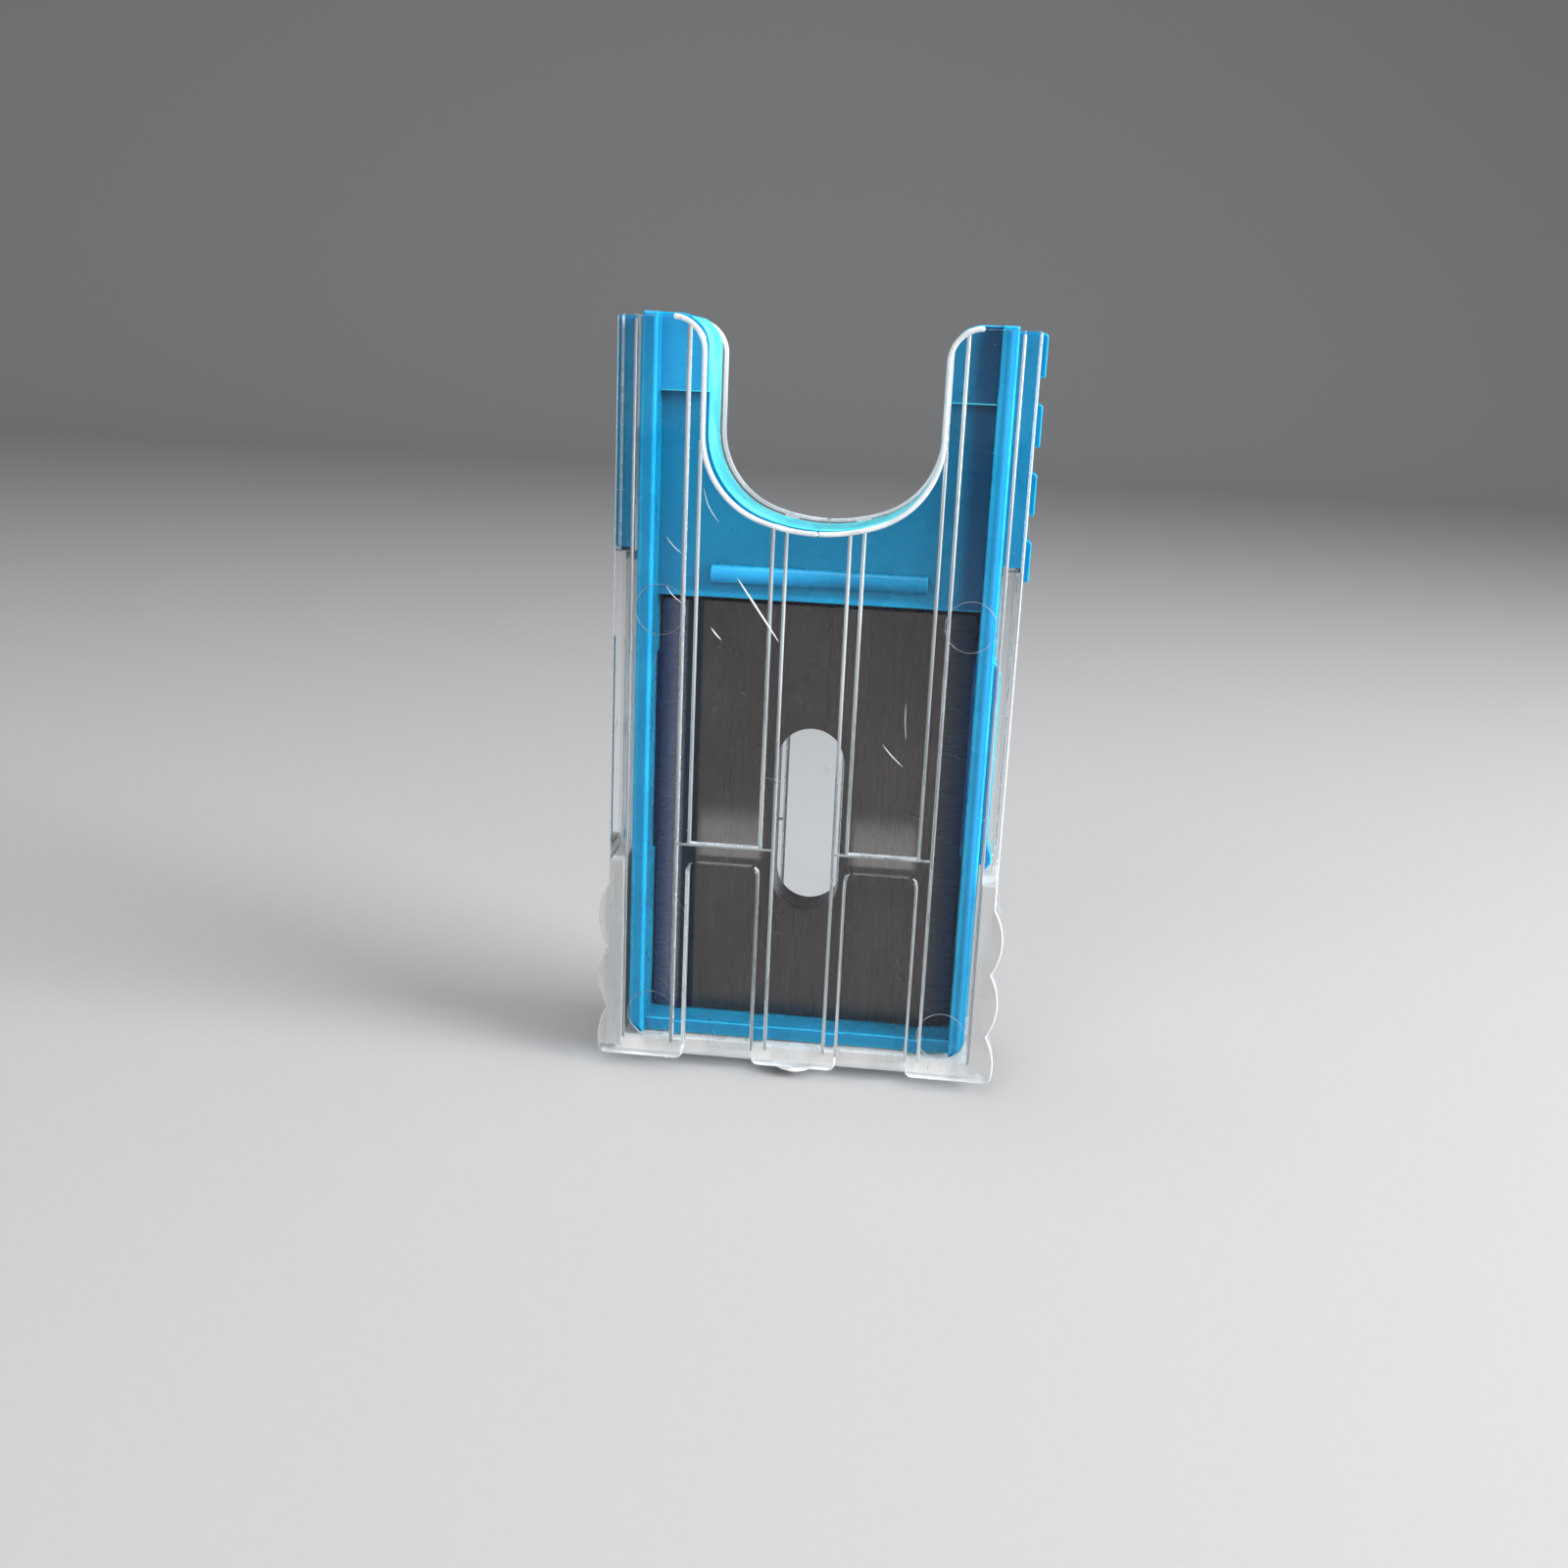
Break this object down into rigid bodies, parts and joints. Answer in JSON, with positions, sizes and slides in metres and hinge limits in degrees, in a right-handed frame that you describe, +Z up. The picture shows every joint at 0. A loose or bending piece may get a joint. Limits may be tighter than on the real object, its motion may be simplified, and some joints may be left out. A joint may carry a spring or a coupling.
{
  "type": "blade case",
  "caption": "Flat slide-out case: a clear moulded sleeve with a thumb notch holds a translucent tray with thumb wings and a stack of slotted blades.",
  "frame": {"origin": "bottom centre of the whole part's box, under the moulding gate's stub", "axes": "+Z up, along the slide and out of the sleeve's open end; +Y through the thickness, from the front face to the back face; +X to the right seen from the front"},
  "size_m": [0.0366, 0.0132, 0.0677],
  "materials": {
    "clear_plastic": "clear, glossy as moulded",
    "blue_plastic": "translucent, glossy as moulded",
    "blade_steel": "dark, fine-ground, lightly oiled"
  },
  "bodies": {
    "sleeve_body": {"sleeve": "clear_plastic"},
    "tray_body": {"tray": "blue_plastic", "blade_01": "blade_steel", "blade_02": "blade_steel", "blade_03": "blade_steel", "blade_04": "blade_steel", "blade_05": "blade_steel", "blade_06": "blade_steel", "blade_07": "blade_steel", "blade_08": "blade_steel", "blade_09": "blade_steel", "blade_10": "blade_steel"}
  },
  "joints": [
    {"name": "tray_slide", "type": "slide", "parent": "sleeve_body", "child": "tray_body", "axis": [0, 0, 1], "range_m": [0, 0.06]}
  ]
}
